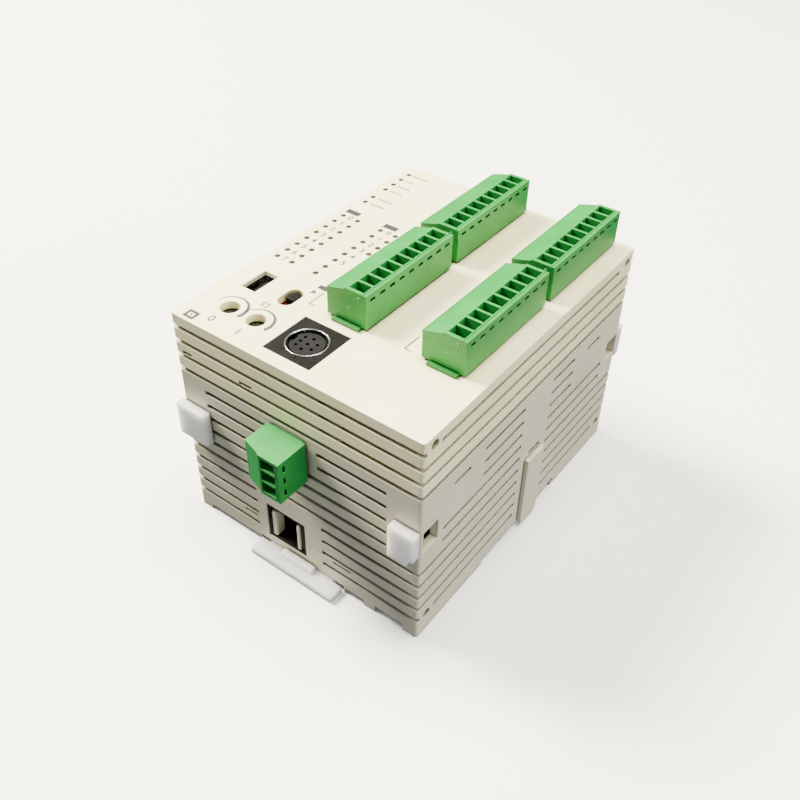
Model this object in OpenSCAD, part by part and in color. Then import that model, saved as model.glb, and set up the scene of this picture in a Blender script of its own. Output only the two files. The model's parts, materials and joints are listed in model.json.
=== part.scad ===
/* [Case] */
// Width of the case, left to right
case_w = 70; // [70:0.5:73]
// Height of the case, bottom to top, along the rail's short side
case_h = 90; // [90:0.5:93]
// Depth of the case, rail to front panel
case_d = 61.5; // [61:0.5:63]
// Thickness of the moulded walls
wall = 2; // [1.9:0.05:2.1]
// Radius of the upright corners
corner_r = 0.8; // [0.6:0.1:1]

/* [Cooling grooves] */
// Distance from one groove to the next
groove_pitch = 4; // [3.9:0.05:4.05]
// Height of a groove
groove_w = 1.2; // [0.9:0.1:1.3]
// Depth of a groove
groove_d = 1; // [0.7:0.1:1.1]

/* [Terminal blocks] */
// Number of wires each block takes
positions = 9; // [6:1:9]
// Distance from one wire to the next
pitch = 3.5; // [3.3:0.05:3.5]
// Height of a plug above the panel
plug_h = 9.4; // [9:0.1:10.5]
// Width of a plug
plug_w = 11.1; // [10.8:0.1:11.4]

/* [Rail] */
// Width of the mounting rail
rail_w = 35; // [34:0.5:35.5]
// Depth of the rail seat
rail_depth = 2.3; // [2.2:0.1:2.5]

/* [Lights] */
// Distance between lights in a group
light_pitch = 3.57; // [3.4:0.01:3.6]
// Radius of a light pipe
light_r = 0.7; // [0.5:0.05:0.7]

/* [Hidden] */

hx = case_w / 2;
hy = case_h / 2;
ix = hx - wall;
iy = hy - wall;
cover_z = 45.6;                     // seam between front cover and housing
base_z = 9.6;                       // seam between housing and rear base
seam = 0.1;
plate = 2;                          // front panel thickness
block_l = positions * pitch + 0.9;
serial_n = 3;
serial_l = serial_n * pitch + 0.9;
block_x = [-6.9, -6.9, 18.9, 18.9];
block_y = [-24, 10.9, -24, 10.9];
serial_x = -6.6;
serial_z = 33.2;
header_low = case_d - 9;            // top face of the front board
status_y = [40.75, 37.1, 33.6, 30, 24.6, 21.25];
light_x = [-32.2, -27.5, -20, -15.3];
light_top = 12;
dial_x = [-25.75, -17.75];
dial_y = -35.5;
socket_x = -3.6;
socket_y = -34.6;
cpu_z = 30.9;
pow_z = 17;
$fn = 32;

function groove_z(k) = case_d - 3.3 - groove_pitch * k;
function pole(i) = 0.45 + pitch * (i + 0.5);

module box(x0, x1, y0, y1, z0, z1) { translate([x0, y0, z0]) cube([x1 - x0, y1 - y0, z1 - z0]); }
module both_x() { children(); mirror([1, 0, 0]) children(); }
module both_y() { children(); mirror([0, 1, 0]) children(); }

// Rounded rectangle of the case, drawn in by a distance
module case_plan(inset = 0) {
  w = case_w - 2 * inset;
  h = case_h - 2 * inset;
  square([w - 2 * corner_r, h], center = true);
  square([w, h - 2 * corner_r], center = true);
  for (sx = [-1, 1], sy = [-1, 1])
    translate([sx * (w / 2 - corner_r), sy * (h / 2 - corner_r)]) circle(r = corner_r);
}
module tube(z0, z1) {
  difference() {
    translate([0, 0, z0]) linear_extrude(z1 - z0) case_plan();
    box(-ix, ix, -iy, iy, z0 - 1, z1 + 1);
  }
}
// A groove cut into the bottom face from a to b, and into the right face from a to b
module groove_y(k, a, b) { box(a, b, -hy - 1, -hy + groove_d, groove_z(k) - groove_w / 2, groove_z(k) + groove_w / 2); }
module groove_x(k, a, b) { box(hx - groove_d, hx + 1, a, b, groove_z(k) - groove_w / 2, groove_z(k) + groove_w / 2); }
// A vent slot through the wall in a groove: thin at the mouth, wider and lower behind it
module vent_y(k, a, b) {
  box(a, b, -hy - 1, -iy + 0.5, groove_z(k) - groove_w / 2, groove_z(k) + groove_w / 2);
  box(a, b, -hy + 0.45, -iy + 0.5, groove_z(k) - 1.5, groove_z(k));
}

// Side view of a plug from a height up: low wall, sloping top, then the flat strip with the wire holes
module plug_outline(low) {
  polygon([[0, low], [0, plug_h - 1.8], [4.9, plug_h - 0.4], [5.3, plug_h], [plug_w, plug_h], [plug_w, low]]);
}
module plug(n) {
  len = n * pitch + 0.9;
  difference() {
    union() {
      translate([0, len, 0]) rotate([90, 0, 0]) linear_extrude(len) plug_outline(0.6);
      translate([0, len + 0.1, 0]) rotate([90, 0, 0]) linear_extrude(len + 0.2) plug_outline(plug_h - 2.5);
      box(1.9, 8.9, 1.05, len - 1.05, -7.4, 0.8);
    }
    box(10.15, 10.35, -1, len + 1, plug_h - 0.3, plug_h + 1);
    box(0.35, 0.5, -1, len + 1, plug_h - 1.85, plug_h);
    for (i = [0:n - 1]) {
      box(5.8, 9.9, pole(i) - 1.45, pole(i) + 1.45, 1, plug_h + 1);
      box(10.4, plug_w + 1, pole(i) - 0.95, pole(i) + 0.95, plug_h - 2.1, plug_h - 1.3);
      box(4.65, 6.15, pole(i) - 0.75, pole(i) + 0.75, -8, 0.3);
      translate([-1, pole(i), 3.2]) rotate([0, 90, 0]) cylinder(r = 1.35, h = 6.9);
    }
  }
}
module plug_screws(n) {
  for (i = [0:n - 1]) translate([0, pole(i), 3.2]) rotate([0, 90, 0]) difference() {
    union() {
      translate([0, 0, 0.8]) cylinder(r = 1.25, h = 1.2);
      translate([0, 0, 1.9]) cylinder(r = 0.85, h = 5);
    }
    translate([-2, -0.2, 0.5]) cube([4, 0.4, 0.9]);
  }
}
module wire_clamps(n) {
  for (i = [0:n - 1]) difference() {
    box(6, 9.7, pole(i) - 1.35, pole(i) + 1.35, 1.1, 5.2);
    box(7, 9.3, pole(i) - 0.95, pole(i) + 0.95, 0, 6);
    translate([5, pole(i), 3.2]) rotate([0, 90, 0]) cylinder(r = 0.95, h = 3);
  }
}
module header(n) {
  len = n * pitch + 0.9;
  difference() {
    union() {
      box(1, 9.8, 0.33, len - 0.33, -9, 0.3);
      box(2.1, 9.7, -1.3, 0.4, 0.02, 0.3);
      box(2.1, 9.7, -1.3, -0.3, 0.02, 0.75);
    }
    box(1.6, 9.2, 0.78, len - 0.78, -8, 1);
    for (i = [0:n - 1]) box(4.95, 5.85, pole(i) - 0.45, pole(i) + 0.45, -10, -7);
  }
}
module pins(n) { for (i = [0:n - 1]) box(5, 5.8, pole(i) - 0.4, pole(i) + 0.4, -11.4, -0.6); }
module at_block(k) { translate([block_x[k], block_y[k], case_d]) children(); }
module at_serial() { translate([serial_x, -hy, serial_z]) rotate([90, 0, 0]) children(); }

module light_places(cols, rows) { for (c = cols, r = rows) translate([light_x[c], light_top - light_pitch * r, 0]) children(); }
module all_lights() {
  for (y = status_y) translate([light_x[0] - 0.1, y, 0]) children();
  light_places([0, 1, 2], [0:7]) children();
  light_places([3], [0:3]) children();
}
module slot_hole(x, y0, y1, r, z0, z1) {
  box(x - r, x + r, y0 + r, y1 - r, z0, z1);
  for (y = [y0 + r, y1 - r]) translate([x, y, z0]) cylinder(r = r, h = z1 - z0);
}

module front_cover() {
  color("#f1efdf") difference() {
    union() {
      tube(cover_z, case_d);
      translate([0, 0, case_d - plate]) linear_extrude(plate) case_plan();
      both_x() both_y() box(ix - 2, ix + 0.5, iy - 3.6, iy + 0.5, case_d - 5, case_d - plate + 0.5);
      both_x() {                    // legs that hook into the housing's side windows
        box(ix - 1.4, ix - 0.1, -32.5, -27.5, 40, cover_z + 1);
        box(ix - 0.2, ix + 1.2, -32.3, -27.6, 40.9, 41.6);
        box(ix - 0.2, ix + 1.2, 26.6, 31.4, 40.9, 41.6);
        box(ix - 1.4, ix + 0.5, -32.5, -27.5, cover_z + 0.5, cover_z + 3);
        box(ix - 1.4, ix - 0.1, 26.5, 31.5, 40, cover_z + 1);
        box(ix - 1.4, ix + 0.5, 26.5, 31.5, cover_z + 0.5, cover_z + 3);
      }
    }
    for (k = [0:3]) both_y() groove_y(k, -hx - 1, hx + 1);
    both_x() groove_x(0, -39, 37.3);
    both_x() for (k = [1:3]) groove_x(k, -hy - 1, hy + 1);
    both_y() for (k = [0:2]) { vent_y(k, 7.5, 10.25); vent_y(k, 13.5, 26.75); }
    both_y() { box(-32.75, -29.75, -hy - 1, -iy + 1, 50.9, 51.8); box(-15, -11.1, -hy - 1, -iy + 1, 50.9, 51.8); }
    both_y() translate([hx - 3.5, 41.4, case_d - 2.5]) rotate([0, 90, 0]) cylinder(r = 1.3, h = 5);
    both_y() translate([-hx - 3, 41.4, case_d - 2.5]) rotate([0, 90, 0]) cylinder(r = 1.3, h = 4.7);
    for (k = [0:3]) at_block(k) box(0.95, 9.85, 0.25, block_l - 0.25, -3, 1);
    all_lights() translate([0, 0, case_d - 8.5]) cylinder(r = light_r + 0.05, h = 10);
    for (x = dial_x) translate([x, dial_y, case_d - 3]) cylinder(r = 2.35, h = 5);
    box(-29.9, -25.6, -27.75, -19.75, case_d - 3, case_d + 1);
    slot_hole(-17.8, -27.7, -20.8, 2.03, case_d - 3, case_d + 1);
    box(socket_x - 6.6, socket_x + 6.6, socket_y - 7, socket_y + 7, case_d - 3, case_d + 1);
  }
}

module main_housing() {
  color("#d2cfc0") difference() {
    union() {
      tube(base_z + seam / 2, cover_z - seam / 2);
      both_y() {                    // tongues that hook into the cover and the base
        box(-32.3, -30.2, -iy - 0.5, -iy + 1.2, cover_z - 4, cover_z - 2);
        box(-32.3, -30.2, -iy + 0.1, -iy + 1.2, cover_z - 4, 52);
        box(-14.6, -11.5, -iy - 0.5, -iy + 1.2, cover_z - 4, cover_z - 2);
        box(-14.6, -11.5, -iy + 0.1, -iy + 1.2, cover_z - 4, 52);
        box(10.7, 15.3, -iy - 0.5, -iy + 1.2, base_z + 2, base_z + 4);
        box(10.7, 15.3, -iy + 0.1, -iy + 1.2, base_z - 2, base_z + 4);
      }
    }
    both_y() {
      for (k = [4, 5]) { groove_y(k, -27, -7.5); groove_y(k, 6.75, 26); }
      for (k = [6:8]) groove_y(k, -27, 26);
      for (k = [4:8]) { vent_y(k, -26.8, -12.9); vent_y(k, 7.2, 25.8); }
      for (k = [10, 11]) { vent_y(k, -26.5, -13.7); vent_y(k, 7.25, 26.75); }
      groove_y(9, -hx - 1, hx + 1);
      vent_y(9, -26.5, -13.7);
      vent_y(9, 7.25, 26.75);
      for (k = [10:12]) { groove_y(k, -hx - 1, -13.5); groove_y(k, 7, hx + 1); }
      vent_y(12, 17.5, 26.75);
      box(28.2, 30.8, -hy - 1, -iy + 1, 28.2, 36.2);
      box(-30.8, -28.2, -hy - 1, -iy + 1, 28.2, 36.2);
    }
    both_x() {
      for (k = [4:6]) { groove_x(k, -21, -4.3); groove_x(k, 8.5, 19.2); }
      for (k = [7, 8]) { groove_x(k, -36.5, -4); groove_x(k, 8.5, 36.4); }
      for (k = [9:12]) { groove_x(k, -hy - 1, -4); groove_x(k, 8.5, hy + 1); }
      both_y() box(ix - 1, hx + 1, -44, -38.6, 29.3, 35.4);
      box(ix - 1, hx + 1, -33, -26.8, 40.7, 41.8);
      box(ix - 1, hx + 1, 26, 32.3, 40.7, 41.8);
      box(ix - 1, hx + 1, -0.6, 5.8, 4, 21.6);
      box(hx - 1.2, hx + 1, 0.4, 5.6, 23.9, 25.2);
    }
    at_serial() box(0.95, 9.85, 0.25, serial_l - 0.25, -4, 1);
    box(-10.5, 1.75, -hy - 1, -iy + 1, 4.1, 15.6);
  }
}

module rear_base() {
  color("#c6c3b4") difference() {
    union() {
      tube(0, base_z - seam / 2);
      linear_extrude(4.3) case_plan();
      both_x() both_y() box(ix - 2, ix + 0.5, iy - 3.6, iy + 0.5, 4, 9);
      both_x() both_y() translate([28, 38, 4]) cylinder(r = 3, h = pow_z - 4);
    }
    both_y() { groove_y(13, -hx - 1, -13.5); groove_y(13, 7, hx + 1); }
    both_x() { groove_x(13, -38.7, -4); groove_x(13, 8.5, 38); }
    both_x() both_y() translate([hx - 3.5, 41.4, 5.8]) rotate([0, 90, 0]) cylinder(r = 1.3, h = 5);
    both_y() { box(10.25, 15.75, -hy - 1, -iy + 1, 8.3, 9.2); box(-18.3, -13.8, -hy - 1, -iy + 1, 8.3, 9.2); }
    // seat for the rail, its fixed lip, and the way for the sliding clip
    box(-hx - 1, hx + 1, -rail_w / 2 - 0.25, rail_w / 2 - 0.9, -1, rail_depth);
    box(-hx - 1, hx + 1, -rail_w / 2 - 0.25, rail_w / 2 + 0.25, 0.9, rail_depth);
    box(-10.5, 10.5, -hy - 1, -17, -1, rail_depth);
    box(-13.5, 13.5, -hy - 1, -hy + 4, -1, rail_depth);
    // hollows along the bottom edge between the feet
    box(13.9, 19.5, -hy - 1, -hy + 3, -1, 1.8);
    box(22.75, 31, -hy - 1, -hy + 8.6, -1, 2.2);
    box(-31, -13.9, -hy - 1, -hy + 3, -1, 1.6);
    box(-10.5, 1.75, -hy - 1, -iy + 0.5, 4.3, 12);
    both_x() box(ix - 0.5, hx + 1, -0.6, 5.8, 4.3, 12);
  }
}

module header_1() { color("#3f9a46") at_block(0) header(positions); }
module header_2() { color("#3f9a46") at_block(1) header(positions); }
module header_3() { color("#3f9a46") at_block(2) header(positions); }
module header_4() { color("#3f9a46") at_block(3) header(positions); }
module serial_header() { color("#3f9a46") at_serial() header(serial_n); }
module plug_1() { color("#62b866") at_block(0) plug(positions); }
module plug_2() { color("#62b866") at_block(1) plug(positions); }
module plug_3() { color("#62b866") at_block(2) plug(positions); }
module plug_4() { color("#62b866") at_block(3) plug(positions); }
module serial_plug() { color("#62b866") at_serial() plug(serial_n); }
module plug_screws_1() { color("#b9bcc0") at_block(0) plug_screws(positions); }
module plug_screws_2() { color("#b9bcc0") at_block(1) plug_screws(positions); }
module plug_screws_3() { color("#b9bcc0") at_block(2) plug_screws(positions); }
module plug_screws_4() { color("#b9bcc0") at_block(3) plug_screws(positions); }
module serial_plug_screws() { color("#b9bcc0") at_serial() plug_screws(serial_n); }
module wire_clamps_1() { color("#a9adb2") at_block(0) wire_clamps(positions); }
module wire_clamps_2() { color("#a9adb2") at_block(1) wire_clamps(positions); }
module wire_clamps_3() { color("#a9adb2") at_block(2) wire_clamps(positions); }
module wire_clamps_4() { color("#a9adb2") at_block(3) wire_clamps(positions); }
module serial_wire_clamps() { color("#a9adb2") at_serial() wire_clamps(serial_n); }
module header_pins() { color("#c9c6bd") for (k = [0:3]) at_block(k) pins(positions); }
module serial_header_pins() { color("#c9c6bd") at_serial() pins(serial_n); }

module round_socket_body() {
  color("#26282b") translate([socket_x, socket_y, 0]) difference() {
    box(-6.5, 6.5, -6.9, 6.9, header_low, case_d - 0.1);
    translate([0, 0, header_low + 1]) cylinder(r = 5, h = 20);
  }
}
module round_socket_shield() {
  color("#c8cacc") translate([socket_x, socket_y, header_low + 1]) difference() {
    cylinder(r = 4.95, h = 8.1);
    translate([0, 0, 1]) cylinder(r = 4.65, h = 10);
    translate([-6, -1.3, 6]) cube([3, 2.6, 4]);
  }
}
// Insert with eight contact holes, two, three and three in rows, and a rectangular key
module round_socket_insert() {
  color("#2f3236") translate([socket_x, socket_y, header_low + 2]) difference() {
    cylinder(r = 3.9, h = 6.6);
    for (p = [[-1.9, 1.6], [-1.9, 0], [-1.9, -1.6], [0.1, 2.1], [0.1, 0], [0.1, -2.1], [2, 1], [2, -1]])
      translate([p[0], p[1], 2]) cylinder(r = 0.45, h = 6);
    translate([-4.5, -1, 3]) cube([1.2, 2, 6]);
  }
}
module usb_shell() {
  color("#b8babd") difference() {
    box(-29.6, -25.9, -27.5, -20, header_low, case_d - 0.5);
    box(-29.3, -26.2, -27.2, -20.3, header_low + 0.5, case_d + 1);
  }
}
module usb_tongue() { color("#1e1f21") box(-28.2, -27.3, -26.3, -21.2, header_low + 0.6, case_d - 1.6); }
module mode_switch_body() {
  color("#8f2f27") difference() {
    box(-20.8, -14.8, -29, -19.4, header_low, case_d - 2.7);
    box(-18.7, -16.9, -27, -21.4, header_low + 2, case_d);
  }
}
module mode_switch_slider() {
  color("#1f2022") {
    box(-19.1, -16.5, -24.4, -21.9, case_d - 2.4, case_d - 0.4);
    box(-18.4, -17.2, -23.6, -22.2, header_low + 2.6, case_d - 2.2);
  }
}
module trimmer_body(x) {
  color("#3b5f8c") difference() {
    box(x - 3.3, x + 3.3, dial_y - 3.3, dial_y + 3.3, header_low, case_d - 4.2);
    translate([x, dial_y, header_low + 1]) cylinder(r = 1, h = 9);
  }
}
module trimmer_dial(x) {
  color("#e4e1d2") difference() {
    union() {
      translate([x, dial_y, case_d - 3.9]) cylinder(r = 2, h = 1.7);
      translate([x, dial_y, header_low + 1.4]) cylinder(r = 0.95, h = 5);
    }
    box(x - 1.5, x + 1.5, dial_y - 0.3, dial_y + 0.3, case_d - 3, case_d);
    box(x - 0.3, x + 0.3, dial_y - 1.5, dial_y + 1.5, case_d - 3, case_d);
  }
}
module trimmer_body_0() { trimmer_body(dial_x[0]); }
module trimmer_body_1() { trimmer_body(dial_x[1]); }
module trimmer_dial_0() { trimmer_dial(dial_x[0]); }
module trimmer_dial_1() { trimmer_dial(dial_x[1]); }
module light_pipe() { translate([0, 0, header_low + 1.2]) cylinder(r = light_r, h = case_d - header_low - 1.25, $fn = 24); }
module status_lights() { color("#6f8f5a") for (y = status_y) translate([light_x[0] - 0.1, y, 0]) light_pipe(); }
module input_lights() { color("#8d4a40") light_places([0, 1], [0:7]) light_pipe(); }
module output_lights() { color("#8d4a40") { light_places([2], [0:7]) light_pipe(); light_places([3], [0:3]) light_pipe(); } }

// One bar of a printed mark, from a corner with a size
module ink(x, y, w, h) { translate([x, y, case_d + 0.01]) cube([w, h, 0.05]); }
// Digits built of seven straight strokes; s lists which strokes are on
function strokes(d) = [[1, 1, 1, 0, 1, 1, 1], [0, 0, 1, 0, 0, 1, 0], [1, 0, 1, 1, 1, 0, 1], [1, 0, 1, 1, 0, 1, 1],
  [0, 1, 1, 1, 0, 1, 0], [1, 1, 0, 1, 0, 1, 1], [1, 1, 0, 1, 1, 1, 1], [1, 0, 1, 0, 0, 1, 0]][d];
module digit(d, x, y, h) {
  w = 0.6 * h;
  t = 0.14 * h;
  s = strokes(d);
  if (s[0] == 1) ink(x, y + h - t, w, t);
  if (s[3] == 1) ink(x, y + h / 2 - t / 2, w, t);
  if (s[6] == 1) ink(x, y, w, t);
  if (s[1] == 1) ink(x, y + h / 2, t, h / 2);
  if (s[2] == 1) ink(x + w - t, y + h / 2, t, h / 2);
  if (s[4] == 1) ink(x, y, t, h / 2);
  if (s[5] == 1) ink(x + w - t, y, t, h / 2);
}
// Swept mark round a dial, thin at one end and thick at the other
module dial_mark(x) {
  translate([x, dial_y, case_d + 0.01]) difference() {
    cylinder(r = 4.4, h = 0.05);
    translate([-0.25, -0.2, -1]) cylinder(r = 3.9, h = 3);
    translate([-6, -12, -1]) cube([12, 12, 3]);
    translate([3.6, 0, -1]) cube([3, 1.6, 3]);
  }
}
module panel_markings() {
  color("#6f6f6b") {
    for (x = dial_x) dial_mark(x);
    digit(0, dial_x[0] - 0.5, dial_y - 5.5, 1.6);
    digit(1, dial_x[1] - 0.5, dial_y - 5.5, 1.6);
    for (d = [0:7]) digit(d, -30.6, light_top - light_pitch * d - 0.6, 1.2);
    for (d = [0:5]) digit(d, -18.4, light_top - light_pitch * d - 0.6, 1.2);
    for (y = status_y) ink(-30.5, y - 0.25, 5.6, 0.5);
    for (x = [-33.1, -20.9]) ink(x, 13.8, 4.2, 1.8);
    ink(-31.9, -44, 3, 2.4);
    for (x = [-12.9, 14.1]) { ink(x, -23.3, 0.2, 5.2); ink(x, -23.5, 1.8, 0.2); }
    ink(-18.4, -19, 1.2, 0.3);
    ink(-18.2, -30, 1, 1);
  }
}

module power_socket() {
  color("#1f2022") difference() {
    box(-10.3, 1.55, -hy + 0.2, -iy + 9, 4.5, 15.5);
    box(-9.5, 0.75, -hy - 1, -iy + 7, 5.2, 14.8);
    for (x = [-7.4, -4.4, -1.4]) box(x - 0.55, x + 0.55, -iy + 6, -iy + 10, 9.2, 10.8);
  }
}
module power_pins() { color("#d2d3d4") for (x = [-7.4, -4.4, -1.4]) box(x - 0.5, x + 0.5, -iy + 2.6, -iy + 12, 9.3, 10.7); }

// Sliding clip: a finger block outside the wall and an arm that bars the side window
module module_clip(x0, x1) {
  box(x0, x1, -hy - 2.6, -hy - 0.25, 27, 36.5);
  box(28.6, 30.4, -hy - 0.3, -37.5, 28.6, 35.8);
}
module module_clip_bottom_left() { color("#ecebe6") mirror([1, 0, 0]) module_clip(26.2, hx + 0.3); }
module module_clip_bottom_right() { color("#ecebe6") difference() { module_clip(28.1, hx); box(33.2, hx + 1, -hy - 3, -hy, 26, 29); } }
module module_clip_top_left() { color("#ecebe6") mirror([1, 0, 0]) mirror([0, 1, 0]) module_clip(26.2, hx + 0.3); }
module module_clip_top_right() { color("#ecebe6") mirror([0, 1, 0]) module_clip(28.1, hx); }

module rail_clip() {
  color("#e9e9e7") difference() {
    union() {
      box(-10.1, 10.1, -hy - 0.4, -17.9, 0.3, 2);
      box(-10.1, 10.1, -18.5, -16.6, 0.3, 0.85);
      box(-13, 13, -hy - 4.6, -hy - 0.3, 0.3, 2);
      box(-5, 4.8, -hy - 2.2, -hy - 0.3, 1.5, 3.4);
    }
    for (x = [-8.4, 7.2]) box(x, x + 1.2, -40, -22, -1, 3);
  }
}
module earth_spring() {
  color("#b5b2a6") translate([26.9, -hy + 4.4, 0.6]) difference() {
    cylinder(r = 3.9, h = 0.9);
    translate([0, 0, -1]) cylinder(r = 3.2, h = 3);
  }
}

module port_cover() {
  box(hx + 0.02, hx + 1.3, -1.3, 6.5, 1.2, 23.6);
  box(ix - 0.4, hx + 0.1, -0.4, 5.6, 4.5, 6);
  box(ix - 0.4, hx + 0.1, -0.4, 5.6, 19.8, 21.4);
}
module port_cover_right() { color("#d6d3c5") port_cover(); }
module port_cover_left() { color("#d6d3c5") mirror([1, 0, 0]) port_cover(); }
module port_connector() {
  difference() {
    box(ix - 5.2, ix - 1, -0.9, 6.1, 5, 19.4);
    box(ix - 4.2, ix + 1, -0.1, 5.3, 6.2, 18.2);
  }
  box(ix - 4.3, ix - 2, 1.9, 3.3, 6.1, 18.3);
}
module port_connector_right() { color("#3a3b3d") port_connector(); }
module port_connector_left() { color("#3a3b3d") mirror([1, 0, 0]) port_connector(); }

module front_board() {
  color("#2f6b45") difference() {
    box(-31, 31.2, -40.5, 42.4, header_low - 1.6, header_low);
    box(-33, -29.8, 41.5, 43, header_low - 2, header_low + 1);
    box(-15, -11.1, 41.5, 43, header_low - 2, header_low + 1);
    for (k = [0:3]) at_block(k) for (i = [0:positions - 1])
      box(4.95, 5.85, pole(i) - 0.45, pole(i) + 0.45, -12, -8);
  }
}
module processor_board() { color("#2f6b45") box(-30.8, 30.8, -31.5, 36, cpu_z, cpu_z + 1.6); }
module power_board() {
  color("#2f6b45") difference() {
    box(-31, 31, -42.5, 42.5, pow_z, pow_z + 1.6);
    both_x() box(ix - 6, hx, -1.4, 6.6, pow_z - 1, pow_z + 3);
  }
}
module board_spacers() {
  color("#e8e6da") {
    for (x = [-27, 27], y = [-28, 33]) {
      translate([x, y, pow_z + 1.6]) cylinder(r = 2, h = cpu_z - pow_z - 1.6);
      translate([x, y, cpu_z + 1.6]) cylinder(r = 2, h = header_low - 1.6 - cpu_z - 1.6);
    }
  }
}
module relays() { color("#2a2c2e") for (i = [0:5]) box(4 + 10 * (i % 2), 12 + 10 * (i % 2), -18 + 17 * floor(i / 2), -2 + 17 * floor(i / 2), pow_z + 1.6, pow_z + 11.8); }
module capacitors() { color("#34383c") for (x = [-21, -10.5], y = [18, 29]) translate([x, y, pow_z + 1.6]) cylinder(r = 4.5, h = 11.2); }
module transformer() {
  color("#c8a24a") {
    box(-22, -6, -14, 2, pow_z + 1.6, pow_z + 3.4);
    box(-20, -8, -12, 0, pow_z + 3.3, pow_z + 11);
    box(-22, -6, -14, 2, pow_z + 10.9, pow_z + 12.4);
  }
}

front_cover();
main_housing();
rear_base();
header_1();
header_2();
header_3();
header_4();
serial_header();
plug_1();
plug_2();
plug_3();
plug_4();
serial_plug();
plug_screws_1();
plug_screws_2();
plug_screws_3();
plug_screws_4();
serial_plug_screws();
wire_clamps_1();
wire_clamps_2();
wire_clamps_3();
wire_clamps_4();
serial_wire_clamps();
header_pins();
serial_header_pins();
round_socket_body();
round_socket_shield();
round_socket_insert();
usb_shell();
usb_tongue();
mode_switch_body();
mode_switch_slider();
trimmer_body_0();
trimmer_body_1();
trimmer_dial_0();
trimmer_dial_1();
status_lights();
input_lights();
output_lights();
panel_markings();
power_socket();
power_pins();
module_clip_bottom_left();
module_clip_bottom_right();
module_clip_top_left();
module_clip_top_right();
rail_clip();
earth_spring();
port_cover_right();
port_cover_left();
port_connector_right();
port_connector_left();
front_board();
processor_board();
power_board();
board_spacers();
relays();
capacitors();
transformer();
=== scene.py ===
import bpy
import bmesh
import json
import math
import numpy as np
from mathutils import Vector, Matrix


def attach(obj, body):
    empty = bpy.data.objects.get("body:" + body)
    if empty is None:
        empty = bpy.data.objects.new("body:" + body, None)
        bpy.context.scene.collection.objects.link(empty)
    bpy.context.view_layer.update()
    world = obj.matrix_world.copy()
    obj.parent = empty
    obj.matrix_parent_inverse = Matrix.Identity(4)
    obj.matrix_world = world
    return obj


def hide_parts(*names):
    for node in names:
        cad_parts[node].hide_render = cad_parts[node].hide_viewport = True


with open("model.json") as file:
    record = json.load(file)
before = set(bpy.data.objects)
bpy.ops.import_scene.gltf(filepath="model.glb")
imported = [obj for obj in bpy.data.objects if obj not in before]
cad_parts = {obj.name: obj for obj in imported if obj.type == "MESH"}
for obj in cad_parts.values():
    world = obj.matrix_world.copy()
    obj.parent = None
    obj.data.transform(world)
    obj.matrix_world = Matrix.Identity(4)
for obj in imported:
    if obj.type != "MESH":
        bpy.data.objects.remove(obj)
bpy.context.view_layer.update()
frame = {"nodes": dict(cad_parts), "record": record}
nodes = frame["nodes"]
bodyOf = {n: b for b, names in frame["record"]["behaviour"]["bodies"].items() for n in names}
slotOf = {s["node"]: s["material_slot"] for s in frame["record"]["subparts"]}
mm = 0.001
print("frame loaded:", len(nodes), "nodes")


def hexColour(text):
    # sRGB hex to the linear values that shaders work in
    parts = [int(text[i:i + 2], 16) / 255 for i in (1, 3, 5)]
    return tuple(c / 12.92 if c <= 0.04045 else ((c + 0.055) / 1.055) ** 2.4 for c in parts) + (1.0,)


def addNode(tree, kind, settings=None, links=None):
    # one node, its fields and socket values, then what feeds each socket
    node = tree.nodes.new(kind)
    for key, value in (settings or {}).items():
        if isinstance(key, str) and hasattr(node, key) and key not in node.inputs:
            setattr(node, key, value)
        else:
            node.inputs[key].default_value = value
    for key, source in (links or {}).items():
        tree.links.new(source, node.inputs[key])
    return node


def newMaterial(name):
    material = bpy.data.materials.new(name)
    material.use_nodes = True
    material.node_tree.nodes.clear()
    return material, material.node_tree


# what every moulding shares: sizes in mm, the rest are shares of one; the reach and strength of the painted shade in
# hollows are among them
surface = {"speckMm": 0.45, "grainMm": 0.26, "grainDepthMm": 0.02, "glowMm": 7, "hollowShadeMm": 3.0, "hollowShade": 0.85,
           "roughSpread": 0.06}


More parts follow.
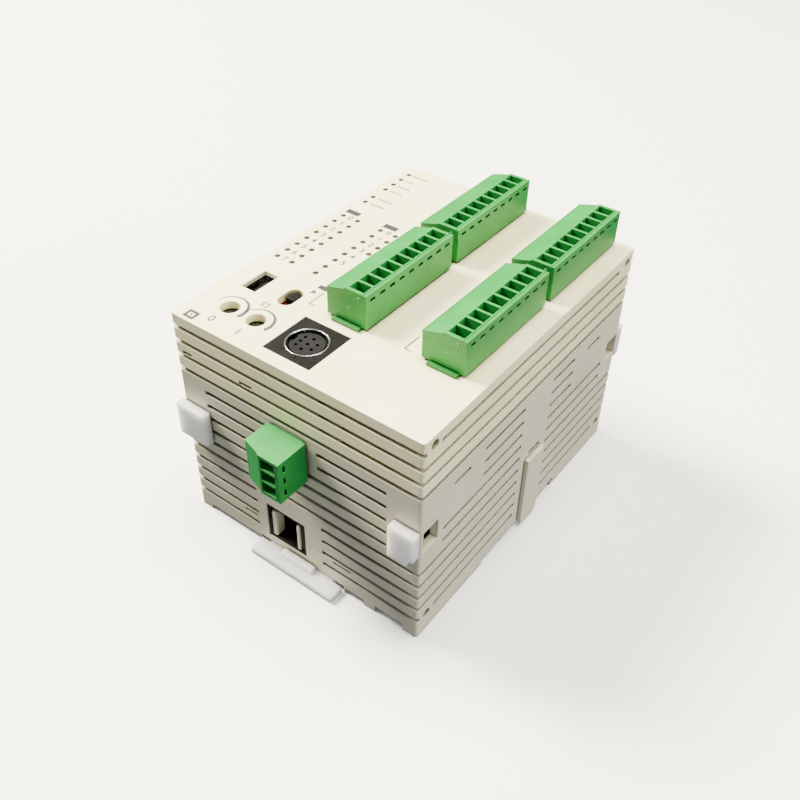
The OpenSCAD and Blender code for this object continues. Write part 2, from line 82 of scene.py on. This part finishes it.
def mouldedPlastic(name, look):
    # three close tones drift across the moulding in soft clouds, a fine spark-eroded grain catches the light, and
    # sharp edges look slightly rounded, a little paler and smoother, the paleness partly wear and partly a painted
    # highlight; grooves and holes are darkened with painted shade
    material, tree = newMaterial(name)
    place = addNode(tree, "ShaderNodeTexCoord").outputs["Object"]
    cloud = addNode(tree, "ShaderNodeTexNoise",
                    {"Scale": 1 / (look["cloudMm"] * mm), "Detail": 4.0, "Roughness": 0.55}, {"Vector": place})
    speck = addNode(tree, "ShaderNodeTexNoise",
                    {"Scale": 1 / (surface["speckMm"] * mm), "Detail": 2.0, "Roughness": 0.6}, {"Vector": place})
    tones = addNode(tree, "ShaderNodeValToRGB", None, {"Fac": cloud.outputs["Fac"]})
    ramp = tones.color_ramp
    ramp.elements[0].position, ramp.elements[1].position = 0.3, 0.7
    ramp.elements[0].color, ramp.elements[1].color = hexColour(look["dark"]), hexColour(look["light"])
    ramp.elements.new(0.5).color = hexColour(look["colour"])
    less, more = 1 - look["speck"], 1 + look["speck"]
    speckAmount = addNode(tree, "ShaderNodeMapRange",
                          {"From Min": 0.35, "From Max": 0.65, "To Min": less, "To Max": more},
                          {"Value": speck.outputs["Fac"]})
    toned = addNode(tree, "ShaderNodeVectorMath", {"operation": "SCALE"},
                    {0: tones.outputs["Color"], "Scale": speckAmount.outputs["Result"]})
    # the angle between the true face and a rounded one is large only near an edge
    rounded = addNode(tree, "ShaderNodeBevel", {"samples": 4, "Radius": look["edgeWearAndHighlightMm"] * mm})
    flat = addNode(tree, "ShaderNodeNewGeometry")
    facing = addNode(tree, "ShaderNodeVectorMath", {"operation": "DOT_PRODUCT"},
                     {0: rounded.outputs["Normal"], 1: flat.outputs["True Normal"]})
    edge = addNode(tree, "ShaderNodeMapRange",
                   {"From Min": 0.995, "From Max": 0.86, "To Min": 0.0, "To Max": look["edgeWearAndHighlight"]},
                   {"Value": facing.outputs["Value"]})
    # wear and painted highlight: sharp edges are mixed toward the paler edge colour, partly rubbed wear, partly
    # standing in for the bright lines light draws along edges
    wornAndHighlit = addNode(tree, "ShaderNodeMix", {"data_type": "RGBA", "B": hexColour(look["edge"])},
                   {"Factor": edge.outputs["Result"], "A": toned.outputs["Vector"]})
    # painted shade: the colour darkens where the shape is closed in, as in grooves and holes, standing in for the
    # shade that falls there
    hollowShade = addNode(tree, "ShaderNodeAmbientOcclusion", {"samples": 6, "Distance": surface["hollowShadeMm"] * mm})
    paintedHollowShade = addNode(tree, "ShaderNodeMapRange",
                   {"From Min": 0.1, "From Max": 0.7, "To Min": 1 - surface["hollowShade"], "To Max": 1.0},
                   {"Value": hollowShade.outputs["AO"]})
    shaded = addNode(tree, "ShaderNodeVectorMath", {"operation": "SCALE"},
                     {0: wornAndHighlit.outputs["Result"], "Scale": paintedHollowShade.outputs["Result"]})
    smoothest, roughest = look["rough"] - surface["roughSpread"], look["rough"] + surface["roughSpread"]
    rough = addNode(tree, "ShaderNodeMapRange", {"To Min": smoothest, "To Max": roughest},
                    {"Value": cloud.outputs["Fac"]})
    grain = addNode(tree, "ShaderNodeTexNoise",
                    {"Scale": 1 / (surface["grainMm"] * mm), "Detail": 3.0, "Roughness": 0.7}, {"Vector": place})
    bump = addNode(tree, "ShaderNodeBump",
                   {"Strength": look["grain"], "Distance": surface["grainDepthMm"] * mm},
                   {"Height": grain.outputs["Fac"], "Normal": rounded.outputs["Normal"]})
    shader = addNode(tree, "ShaderNodeBsdfPrincipled",
                     {"IOR": look["ior"], "Specular IOR Level": look["sheen"], "Subsurface Weight": look["glow"],
                      "Subsurface Radius": (1.0, 1.0, 0.92), "Subsurface Scale": surface["glowMm"] * mm},
                     {"Base Color": shaded.outputs["Vector"], "Roughness": rough.outputs["Result"],
                      "Normal": bump.outputs["Normal"]})
    addNode(tree, "ShaderNodeOutputMaterial", None, {"Surface": shader.outputs["BSDF"]})
    return material


def platedMetal(name, look):
    # a thin bright plating over drawn metal: faint scratches one way, and dull patches where it was handled
    material, tree = newMaterial(name)
    place = addNode(tree, "ShaderNodeTexCoord").outputs["Object"]
    stretched = addNode(tree, "ShaderNodeMapping", {"Scale": look["stretch"]}, {"Vector": place})
    scratch = addNode(tree, "ShaderNodeTexNoise", {"Scale": 1 / (look["scratchMm"] * mm), "Detail": 3.0},
                      {"Vector": stretched.outputs["Vector"]})
    patch = addNode(tree, "ShaderNodeTexNoise", {"Scale": 1 / (look["patchMm"] * mm), "Detail": 3.0},
                    {"Vector": place})
    tones = addNode(tree, "ShaderNodeMix",
                    {"data_type": "RGBA", "A": hexColour(look["dark"]), "B": hexColour(look["colour"])},
                    {"Factor": patch.outputs["Fac"]})
    rough = addNode(tree, "ShaderNodeMapRange", {"To Min": look["rough"] - 0.1, "To Max": look["rough"] + 0.12},
                    {"Value": patch.outputs["Fac"]})
    bump = addNode(tree, "ShaderNodeBump", {"Strength": 0.15, "Distance": 0.01 * mm},
                   {"Height": scratch.outputs["Fac"]})
    shader = addNode(tree, "ShaderNodeBsdfPrincipled", {"Metallic": 1.0},
                     {"Base Color": tones.outputs["Result"], "Roughness": rough.outputs["Result"],
                      "Normal": bump.outputs["Normal"]})
    addNode(tree, "ShaderNodeOutputMaterial", None, {"Surface": shader.outputs["BSDF"]})
    return material


def plastic(name, colour, dark, light, edge, cloudMm=8, speck=0.02, edgeWearAndHighlightMm=0.2, edgeWearAndHighlight=0.5, rough=0.45, grain=0.22,
            ior=1.53, glow=0.0, sheen=0.5):
    # a moulded plastic with the usual values filled in; the edge reach in mm is how far the pale edge band goes,
    # which is partly wear and partly a painted highlight
    return mouldedPlastic(name, {
        "colour": colour, "dark": dark, "light": light, "edge": edge, "cloudMm": cloudMm, "speck": speck,
        "edgeWearAndHighlightMm": edgeWearAndHighlightMm, "edgeWearAndHighlight": edgeWearAndHighlight, "rough": rough, "grain": grain, "ior": ior, "glow": glow, "sheen": sheen})


def plating(name, colour, dark, rough, patchMm, stretch):
    # a plated metal; stretch draws the scratches out across its larger number
    return platedMetal(name, {"colour": colour, "dark": dark, "rough": rough, "scratchMm": 0.25,
                              "patchMm": patchMm, "stretch": stretch})


# each finish gives its colour, a darker and a lighter tone, then a paler edge colour that is partly wear and partly
# a painted highlight
allFinishes = [
    # the cream front panel: warm and bright, with a satin grain
    plastic("ivoryAbs", "#F2EDBC", "#ECE6B1", "#F5F1C5", "#F9F6DC", 22, 0.012, 0.25, 0.5, 0.48),
    # the housing and its base: a greyer, duller stone colour
    plastic("stoneAbs", "#CECAAE", "#C7C3A6", "#D4D0B5", "#E0DCC6", 18, 0.02, 0.22, 0.6, 0.5, 0.3),
    # plug-in blocks: clear leaf green whose edges go pale, partly wear and partly a painted highlight
    plastic("leafGreenNylon", "#127D2D", "#0E7528", "#188633", "#58C468", 9, 0.025, 0.18, 0.8, 0.5, sheen=0.35),
    # the fixed headers under the plugs, a shade deeper
    plastic("deepGreenNylon", "#0F6A24", "#0B6320", "#147229", "#389C44", 9, 0.025, 0.14, 0.5, 0.5, sheen=0.35),
    # clips: milky and slightly see-through at thin edges
    plastic("milkyAcetal", "#EEEDE8", "#E6E5E0", "#F4F3F0", "#FCFCFA", 7, 0.01, 0.3, 0.4, 0.36, 0.12, 1.48, 1.0),
    # socket square and other black mouldings: soft black with greyed edges, partly wear and partly a painted
    # highlight
    plastic("blackNylon", "#0A0A0A", "#070707", "#0F0F0F", "#3A3A39", 5, 0.05, 0.18, 0.45, 0.58, 0.3, sheen=0.1),
    # the socket's insert and sleeve: dark slate, duller than the square round it
    plastic("slateNylon", "#101112", "#0C0D0E", "#151617", "#404245", 4, 0.05, 0.15, 0.5, 0.58, 0.3, sheen=0.12),
    # the stop end of the mode switch shows dull red in its slot
    plastic("redNylon", "#A8281C", "#981F15", "#B43226", "#C85A4B", 4, 0.04, 0.2, 0.3, 0.4),
    # trimmer dials: dark umber, almost lost in the shade of their holes
    plastic("umberNylon", "#1C1B18", "#161512", "#24221F", "#4A463F", 4, 0.04, 0.15, 0.5, 0.4),
    # trimmer bodies under the panel: deep blue resin
    plastic("blueResin", "#3A5E8F", "#325282", "#44699B", "#6C8DB8", 4, 0.03, 0.2, 0.3, 0.35, 0.15, 1.54),
    # light pipes: smoky brown lenses, glossier than the panel
    plastic("smokedPolycarbonate", "#2E2A24", "#27231E", "#38342D", "#5B564D", 3, 0.03, 0.12, 0.4, 0.35, 0.05, 1.58),
    # pad-printed marks: matt mid grey ink, slightly uneven
    plastic("greyInk", "#3A3A42", "#32323A", "#43434B", "#43434B", 3, 0.08, 0.05, 0.0, 0.6, 0.1, 1.5),
    # the darker printed boxes and brackets
    plastic("slateInk", "#24242C", "#1E1E25", "#2B2B34", "#2B2B34", 3, 0.08, 0.05, 0.0, 0.6, 0.1, 1.5),
    # board spacers and the like: plain ivory nylon
    plastic("paleNylon", "#DEDAC6", "#D4D0BB", "#E6E2D0", "#F0ECDF", 4, 0.02, 0.2, 0.4, 0.45),
    # circuit boards: glossy green mask over copper
    plastic("greenMask", "#1F6B3E", "#1A5E36", "#257547", "#B9A66B", 12, 0.05, 0.2, 0.3, 0.32, 0.15, 1.55),
    # tape wound round the transformer: amber film
    plastic("amberTape", "#C19A45", "#B08A38", "#CEA853", "#DABB70", 6, 0.04, 0.2, 0.2, 0.35, 0.15, 1.6),
    # shells of the sockets: bright nickel
    plating("nickelPlate", "#E4E4E2", "#CCCCCA", 0.2, 2, (1.0, 1.0, 8.0)),
    # screws, wire clamps and the earth spring: greyer zinc
    plating("zincPlate", "#C4C7CA", "#A9ACB0", 0.36, 2, (8.0, 1.0, 1.0)),
    # contact pins: dull tin
    plating("tinPlate", "#D2CFC6", "#BDBAB0", 0.32, 1.5, (1.0, 1.0, 8.0)),
]
finish = {material.name: material for material in allFinishes}
slotFinish = {
    "panel_plastic": "ivoryAbs", "case_plastic": "stoneAbs", "terminal_green": "leafGreenNylon",
    "header_green": "deepGreenNylon", "clip_white": "milkyAcetal", "black_plastic": "blackNylon",
    "socket_grey": "slateNylon", "red_plastic": "redNylon", "dial_plastic": "umberNylon",
    "trimmer_blue": "blueResin", "light_pipe_plastic": "smokedPolycarbonate", "ink": "greyInk",
    "plated_steel": "zincPlate", "nickel_shell": "nickelPlate", "tinned_brass": "tinPlate",
    "board_green": "greenMask", "spacer_nylon": "paleNylon", "relay_black": "blackNylon",
    "capacitor_sleeve": "slateNylon", "transformer_tape": "amberTape",
}
for name, obj in nodes.items():
    obj.data.materials.clear()
    obj.data.materials.append(finish[slotFinish[slotOf[name]]])
print("materials made:", len(finish))

edgeRadius = {                      # mm, how far each small moulding's edges are rounded
    "module_clip_bottom_left": 0.3, "module_clip_bottom_right": 0.3, "module_clip_top_left": 0.3,
    "module_clip_top_right": 0.3, "rail_clip": 0.2, "port_cover_right": 0.22, "port_cover_left": 0.22,
    "round_socket_body": 0.12, "mode_switch_slider": 0.15, "trimmer_body_0": 0.15, "trimmer_body_1": 0.15,
    "power_pins": 0.12, "serial_header": 0.06,
}
rounding = {"joinMm": 0.002, "flatAngle": 0.5, "sharpAngle": 38, "steps": 2}    # angles in degrees


def softenedCopy(node, radius):
    # the moulding with doubled points merged, flat faces joined up, and every sharp edge rounded over
    mesh = nodes[node].data.copy()
    work = bmesh.new()
    work.from_mesh(mesh)
    bmesh.ops.remove_doubles(work, verts=work.verts, dist=rounding["joinMm"] * mm)
    bmesh.ops.dissolve_limit(work, angle_limit=math.radians(rounding["flatAngle"]), verts=work.verts,
                             edges=work.edges)
    work.to_mesh(mesh)
    work.free()
    piece = bpy.data.objects.new(node + "_moulding", mesh)
    bpy.context.scene.collection.objects.link(piece)
    bevel = piece.modifiers.new("roundedEdges", "BEVEL")
    bevel.width = radius * mm
    bevel.segments = rounding["steps"]
    bevel.limit_method = "ANGLE"
    bevel.angle_limit = math.radians(rounding["sharpAngle"])
    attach(piece, bodyOf[node])
    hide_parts(node)


for node, radius in edgeRadius.items():
    softenedCopy(node, radius)
print("mouldings softened:", len(edgeRadius))


def addPiece(name, points, faces, body, slot, material, replaced=(), smooth=False):
    # a mesh in millimetres becomes one piece that rides with its body
    mesh = bpy.data.meshes.new(name)
    mesh.from_pydata((np.asarray(points) * mm).tolist(), [], [list(f) for f in faces])
    mesh.update()
    work = bmesh.new()
    work.from_mesh(mesh)
    bmesh.ops.remove_doubles(work, verts=work.verts, dist=0.0005 * mm)
    bmesh.ops.recalc_face_normals(work, faces=work.faces)
    for face in work.faces:
        face.smooth = smooth
    work.to_mesh(mesh)
    work.free()
    mesh.materials.append(finish[material])
    piece = bpy.data.objects.new(name, mesh)
    bpy.context.scene.collection.objects.link(piece)
    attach(piece, body)
    for node in replaced:
        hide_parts(node)


def gridFaces(rows, columns, wrap):
    # four-sided faces over a grid of points, joined round the second way if wrap is set
    r, c = np.meshgrid(np.arange(rows - 1), np.arange(columns if wrap else columns - 1), indexing="ij")
    a, b = r * columns + c, r * columns + (c + 1) % columns
    return np.stack([a, b, b + columns, a + columns], -1).reshape(-1, 4)


def merged(parts):
    # several point and face sets as one
    points, faces, start = [], [], 0
    for part in parts:
        points.append(np.asarray(part[0], float))
        faces += [[i + start for i in face] for face in part[1]]
        start += len(part[0])
    return np.concatenate(points), faces


def fullTurn(count):
    return np.linspace(0, 2 * math.pi, count, endpoint=False)


def turned(profile, segments):
    # radius and height pairs, from the axis round to the axis again, turned about z
    r, z = np.array(profile, float).T
    turn = fullTurn(segments)
    rings = [np.outer(r, np.cos(turn)), np.outer(r, np.sin(turn)), np.repeat(z[:, None], segments, 1)]
    return np.stack(rings, -1).reshape(-1, 3), gridFaces(len(r), segments, True).tolist()


def flatBar(path, widths, low, high):
    # a flat bar along a path of points, as wide at each as stated, closed at both ends
    path, half = np.array(path, float), np.array(widths, float)[:, None] / 2
    ahead = np.gradient(path, axis=0)
    ahead /= np.linalg.norm(ahead, axis=1)[:, None]
    side = np.stack([-ahead[:, 1], ahead[:, 0]], 1) * half
    count = len(path)
    order = ((1, low), (-1, low), (-1, high), (1, high))
    corners = [np.column_stack([path + s * side, np.full(count, z)]) for s, z in order]
    points = np.stack(corners, 1).reshape(-1, 3)
    last = 4 * (count - 1)
    return points, gridFaces(count, 4, True).tolist() + [[3, 2, 1, 0], [last, last + 1, last + 2, last + 3]]


def stroke(x0, y0, x1, y1, width, low, high):
    return flatBar([[x0, y0], [x1, y1]], [width, width], low, high)


def moved(part, x, y, z=0.0):
    return np.asarray(part[0]) + [x, y, z], part[1]


panelTop = 61.5
rowStep = 3.57                      # mm from one row of lights to the next
printLook = {                       # mm, the marks printed on the panel
    "thickness": 0.035, "gap": 0.005, "dials": [(-25.75, -35.5), (-17.75, -35.5)],
    "arcRadius": 4.15, "arcThin": 0.2, "arcThick": 1.05, "arcStart": 172, "arcEnd": -22, "arcSteps": 40,
    "numeral": 2.1, "numeralFoot": -42.0, "digit": 1.8, "digitTop": 11.3, "digitColumns": [(-29.9, 8), (-17.6, 6)],
    "dashRows": [40.75, 37.1, 33.6, 30.0, 24.6, 21.25], "dashLengths": [5.4, 3.0, 4.2, 4.8, 5.6, 5.6],
    "dashLeft": -30.4, "dashStep": 0.8, "dashWidth": 0.38, "dashHalf": 0.45,
    "arrow": [(-15.6, -20.3), (-14.1, -19.4), (-15.6, -18.5)], "square": (-20.9, -30.6, -19.5, -29.2, 0.3),
    "captions": [(-33.1, 14.7, 4.2, 1.9), (-20.9, 14.7, 4.2, 1.9), (-15.6, -16.8, 2.7, 1.5)],
    "cornerRing": (-31.7, -43.7, -29.3, -41.7, 0.75), "cornerBlock": (-30.8, -42.7, -30.2, -42.7, 0.5),
    "brackets": [-12.9, 14.1], "bracketLow": -23.4, "bracketHigh": -18.1, "bracketFoot": 1.7, "bracketWidth": 0.3,
}
printLow = panelTop + printLook["gap"]
printHigh = printLow + printLook["thickness"]


def inkStroke(x0, y0, x1, y1, width):
    return stroke(x0, y0, x1, y1, width, printLow, printHigh)


def dialArc(x, y):
    # swept from a thin tail on the left, over the top, to a thick blunt end on the right
    count, radius = printLook["arcSteps"], printLook["arcRadius"]
    turn = np.radians(np.linspace(printLook["arcStart"], printLook["arcEnd"], count))
    path = np.stack([x + radius * np.cos(turn), y + radius * np.sin(turn)], 1)
    swell = (printLook["arcThick"] - printLook["arcThin"]) * np.linspace(0, 1, count) ** 1.3
    return flatBar(path, printLook["arcThin"] + swell, printLow, printHigh)


def numeral(text, x, y, height):
    # a printed number, its foot centred on x and y
    curve = bpy.data.curves.new("numeral", "FONT")
    curve.body, curve.size, curve.align_x = text, height * 1.4, "CENTER"
    curve.extrude, curve.offset = printLook["thickness"] / 2, 0.025 * height
    holder = bpy.data.objects.new("numeral", curve)
    mesh = bpy.data.meshes.new_from_object(holder)
    points = np.zeros(len(mesh.vertices) * 3)
    mesh.vertices.foreach_get("co", points)
    faces = [list(p.vertices) for p in mesh.polygons]
    bpy.data.objects.remove(holder)
    bpy.data.meshes.remove(mesh)
    return points.reshape(-1, 3) + [x, y, (printLow + printHigh) / 2], faces


def boxOutline(x0, y0, x1, y1, width):
    # the two long bars run to the outer corners, the other two fit between them
    half = width / 2
    return [inkStroke(x0 - half, y0, x1 + half, y0, width), inkStroke(x1, y0 + half, x1, y1 - half, width),
            inkStroke(x1 + half, y1, x0 - half, y1, width), inkStroke(x0, y1 - half, x0, y0 + half, width)]


marks = [dialArc(*place) for place in printLook["dials"]]
for text, (x, y) in zip("01", printLook["dials"]):
    marks.append(numeral(text, x - 0.15, printLook["numeralFoot"], printLook["numeral"]))
for x, count in printLook["digitColumns"]:
    marks += [numeral(str(d), x, printLook["digitTop"] - rowStep * d, printLook["digit"]) for d in range(count)]
for y, length in zip(printLook["dashRows"], printLook["dashLengths"]):
    # a row of short upright dashes stands where a caption was
    for k in range(int(length / printLook["dashStep"])):
        x = printLook["dashLeft"] + printLook["dashStep"] * k
        marks.append(inkStroke(x, y - printLook["dashHalf"], x, y + printLook["dashHalf"], printLook["dashWidth"]))
# mode marks: an arrow head at the upper end of the slot and a square at the lower end
marks.append(([[x, y, z] for z in (printLow, printHigh) for x, y in printLook["arrow"]],
              [[2, 1, 0], [3, 4, 5], [0, 1, 4, 3], [1, 2, 5, 4], [2, 0, 3, 5]]))
marks += boxOutline(*printLook["square"])
addPiece("panelPrint", *merged(marks), "case", "ink", "greyInk", ["panel_markings"])

captions = [inkStroke(x, y, x + length, y, width) for x, y, length, width in printLook["captions"]]
boxes = captions[:2] + boxOutline(*printLook["cornerRing"]) + [inkStroke(*printLook["cornerBlock"])] + captions[2:]
wide, foot = printLook["bracketWidth"], printLook["bracketLow"]
for x in printLook["brackets"]:     # beside the first terminals
    boxes += [inkStroke(x, foot, x, printLook["bracketHigh"], wide),
              inkStroke(x - wide / 2, foot, x + printLook["bracketFoot"], foot, wide)]
addPiece("panelBoxes", *merged(boxes), "case", "ink", "slateInk")
print("panel print made")

lensLook = {                        # mm
    "radius": 0.7, "rise": 0.09, "deep": 0.5, "seat": 61.45, "statusX": -32.3, "topRow": 12,
    "columns": [(-32.2, 8), (-27.5, 8), (-20.0, 8), (-15.3, 4)],
}
lensRadius, lensRise = lensLook["radius"], lensLook["rise"]
# a short pin with a softly domed face that stands just clear of the panel
lensRim = [(0, -lensLook["deep"]), (lensRadius, -lensLook["deep"]), (lensRadius, -0.12),
           (lensRadius * 0.92, -0.05), (lensRadius * 0.7, lensRise * 0.2 - 0.03),
           (lensRadius * 0.35, lensRise * 0.8 - 0.03), (0, lensRise - 0.03)]
lightPlaces = [(lensLook["statusX"], y) for y in printLook["dashRows"]]
lightPlaces += [(x, lensLook["topRow"] - rowStep * r) for x, count in lensLook["columns"] for r in range(count)]
lenses = [moved(turned(lensRim, 20), x, y, lensLook["seat"]) for x, y in lightPlaces]
addPiece("lightLenses", *merged(lenses), "case", "light_pipe_plastic", "smokedPolycarbonate", smooth=True)

plugLook = {                        # mm; each end mark is right of the corner, proud of the end, and up
    "markRadius": 0.3, "markRise": 0.05, "ends": [(-6.9, -24.0), (-6.9, 10.9), (18.9, -24.0), (18.9, 10.9)],
    "endMarks": [(9.0, 0.1, 69.6), (6.3, 0, 66.0)],
}
markDisc = [(0, 0), (plugLook["markRadius"], 0), (plugLook["markRadius"] * 0.8, plugLook["markRise"]),
            (0, plugLook["markRise"])]


def endMark(x, y, z):
    # a small round ejector mark on the face that looks along minus y
    points, faces = turned(markDisc, 16)
    return np.stack([points[:, 0] + x, y - points[:, 2], points[:, 1] + z], 1), faces


for number, (x, y) in enumerate(plugLook["ends"], 1):
    dots = [endMark(x + right, y - out, up) for right, out, up in plugLook["endMarks"]]
    addPiece("plugMarks_" + str(number), *merged(dots), "terminal_plug_" + str(number), "terminal_green",
             "leafGreenNylon", smooth=True)

socketLook = {                      # mm, and degrees for the turn of the first tick
    "x": -3.6, "y": -34.6, "rimInner": 4.55, "rimOuter": 4.98, "rimTop": 61.62, "rimHalf": 0.22,
    "rimSteps": 96, "sectionSteps": 16,
    "ticks": 8, "tickTurn": 12, "tickInner": 5.2, "tickOuter": 5.95, "tickWidth": 0.3, "tickTop": 61.52,
    "pads": [(4.9, -4.4), (5.6, -1.2), (3.2, -6.2)], "padHalf": 0.5, "padWidth": 0.8, "padTop": 61.5, "foot": 61.38,
}
rimMiddle = (socketLook["rimInner"] + socketLook["rimOuter"]) / 2
rimSpread = (socketLook["rimOuter"] - socketLook["rimInner"]) / 2
rimSteps, sectionSteps, rimHalf = socketLook["rimSteps"], socketLook["sectionSteps"], socketLook["rimHalf"]
turnRound, rimTurn = fullTurn(sectionSteps), fullTurn(rimSteps)
sectionRadius = rimMiddle + rimSpread * np.cos(turnRound)
sectionHeight = socketLook["rimTop"] - rimHalf + rimHalf * np.sin(turnRound)
# the rolled rim of the shell: a small round section carried once about the socket's axis
rimPoints = np.stack([np.outer(np.cos(rimTurn), sectionRadius) + socketLook["x"],
                      np.outer(np.sin(rimTurn), sectionRadius) + socketLook["y"],
                      np.repeat(sectionHeight[None], rimSteps, 0)], -1).reshape(-1, 3)
rimFaces = gridFaces(rimSteps, sectionSteps, True).tolist()
lastRow = (rimSteps - 1) * sectionSteps
rimFaces += [[lastRow + c, lastRow + (c + 1) % sectionSteps, (c + 1) % sectionSteps, c] for c in range(sectionSteps)]
addPiece("socketRim", rimPoints, rimFaces, "case", "nickel_shell", "nickelPlate", smooth=True)

# the supply inlet's mouth: a grey post down each side
inletLook = {"front": -44.7, "back": -41.8, "posts": [(-9.45, -7.9), (-1.4, -0.2)], "low": 5.25, "high": 13.6,
             "steps": 24, "squareness": 0.35}    # mm, but for the last two


def roundedPost(x0, x1):
    # an upright bar of soft oblong section, drawn in and closed at the top
    count, low, high = inletLook["steps"], inletLook["low"], inletLook["high"]
    turn = fullTurn(count)
    halfX, halfY = (x1 - x0) / 2, (inletLook["back"] - inletLook["front"]) / 2
    middle = [(x0 + x1) / 2, (inletLook["front"] + inletLook["back"]) / 2]
    ways = np.stack([np.sign(wave) * np.abs(wave) ** inletLook["squareness"] * half
                     for wave, half in ((np.cos(turn), halfX), (np.sin(turn), halfY))], 1)
    steps = [(0, low), (1, low), (1, high - 0.7), (0.86, high - 0.15), (0.5, high), (0, high)]
    rows = [np.column_stack([ways * share + middle, np.full(count, z)]) for share, z in steps]
    return np.concatenate(rows), gridFaces(len(steps), count, True).tolist()


posts = [roundedPost(*pair) for pair in inletLook["posts"]]
addPiece("inletPosts", *merged(posts), "case", "case_plastic", "stoneAbs")

ribs = []
for turn in np.radians(np.arange(socketLook["ticks"]) * 360 / socketLook["ticks"] + socketLook["tickTurn"]):
    ways = np.array([math.cos(turn), math.sin(turn)])
    start, stop = ways * socketLook["tickInner"], ways * socketLook["tickOuter"]
    ribs.append(stroke(*start, *stop, socketLook["tickWidth"], socketLook["foot"], socketLook["tickTop"]))
for x, y in socketLook["pads"]:
    ribs.append(stroke(x - socketLook["padHalf"], y, x + socketLook["padHalf"], y, socketLook["padWidth"],
                       socketLook["foot"], socketLook["padTop"]))
ribs = [moved(rib, socketLook["x"], socketLook["y"]) for rib in ribs]
addPiece("socketRibs", *merged(ribs), "case", "black_plastic", "blackNylon")
print("lenses, plug marks and socket details made")

studio = {                          # places in metres, powers in watts
    "floor": "#FFFFFF", "floorHalf": 4, "sky": 0.4, "skyTint": "#F3F7FF", "aim": (0, 0, 0.03),
    "lights": [("keyLight", (-0.85, -0.1, 0.95), 0.5, 88.0, "#FFF7E2"),
               ("topLight", (0.1, 0.15, 1.1), 0.6, 30.0, "#FFF7E2"),
               ("rightLight", (0.95, 0.1, 0.4), 0.5, 9.5, "#FFFFFF")],
}


def turnToward(place, aim):
    # turns a light or camera so that it looks from its place to the aim
    return (Vector(aim) - Vector(place)).to_track_quat("-Z", "Y")


def areaLight(name, place, size, power, tint):
    data = bpy.data.lights.new(name, "AREA")
    data.shape, data.size, data.energy, data.color = "DISK", size, power, hexColour(tint)[:3]
    light = bpy.data.objects.new(name, data)
    bpy.context.scene.collection.objects.link(light)
    light.location = place
    light.rotation_euler = turnToward(place, studio["aim"]).to_euler()


half = studio["floorHalf"]
floorMesh = bpy.data.meshes.new("floor")
floorMesh.from_pydata([(-half, -half, 0), (half, -half, 0), (half, half, 0), (-half, half, 0)], [], [(0, 1, 2, 3)])
floor = bpy.data.objects.new("floor", floorMesh)
bpy.context.scene.collection.objects.link(floor)
floorMaterial, floorTree = newMaterial("paleSweep")
floorShade = addNode(floorTree, "ShaderNodeBsdfPrincipled",
                     {"Base Color": hexColour(studio["floor"]), "Roughness": 0.9})
addNode(floorTree, "ShaderNodeOutputMaterial", None, {"Surface": floorShade.outputs["BSDF"]})
floorMesh.materials.append(floorMaterial)
# the floor shows bright without throwing its light up the case
floor.visible_diffuse = False
floor.visible_glossy = False

world = bpy.data.worlds.new("softStudio")
world.use_nodes = True
sky = world.node_tree.nodes["Background"]
sky.inputs["Color"].default_value = hexColour(studio["skyTint"])
sky.inputs["Strength"].default_value = studio["sky"]
bpy.context.scene.world = world
for light in studio["lights"]:
    areaLight(*light)

view = {"place": (0.10553, -0.14966, 0.18212), "aim": (-0.00042, 0.00088, 0.030), "roll": 1.87, "lens": 41.55,
        "filmWidth": 36, "shiftX": -0.017, "shiftY": -0.027, "near": 0.01}
cameraData = bpy.data.cameras.new("studioCamera")
cameraData.lens, cameraData.sensor_width = view["lens"], view["filmWidth"]
cameraData.shift_x, cameraData.shift_y = view["shiftX"], view["shiftY"]
cameraData.clip_start = view["near"]
camera = bpy.data.objects.new("studioCamera", cameraData)
bpy.context.scene.collection.objects.link(camera)
camera.location = view["place"]
roll = Matrix.Rotation(math.radians(view["roll"]), 3, "Z")
camera.rotation_euler = (turnToward(view["place"], view["aim"]).to_matrix() @ roll).to_euler()
bpy.context.scene.camera = camera
print("room, lights and camera placed")
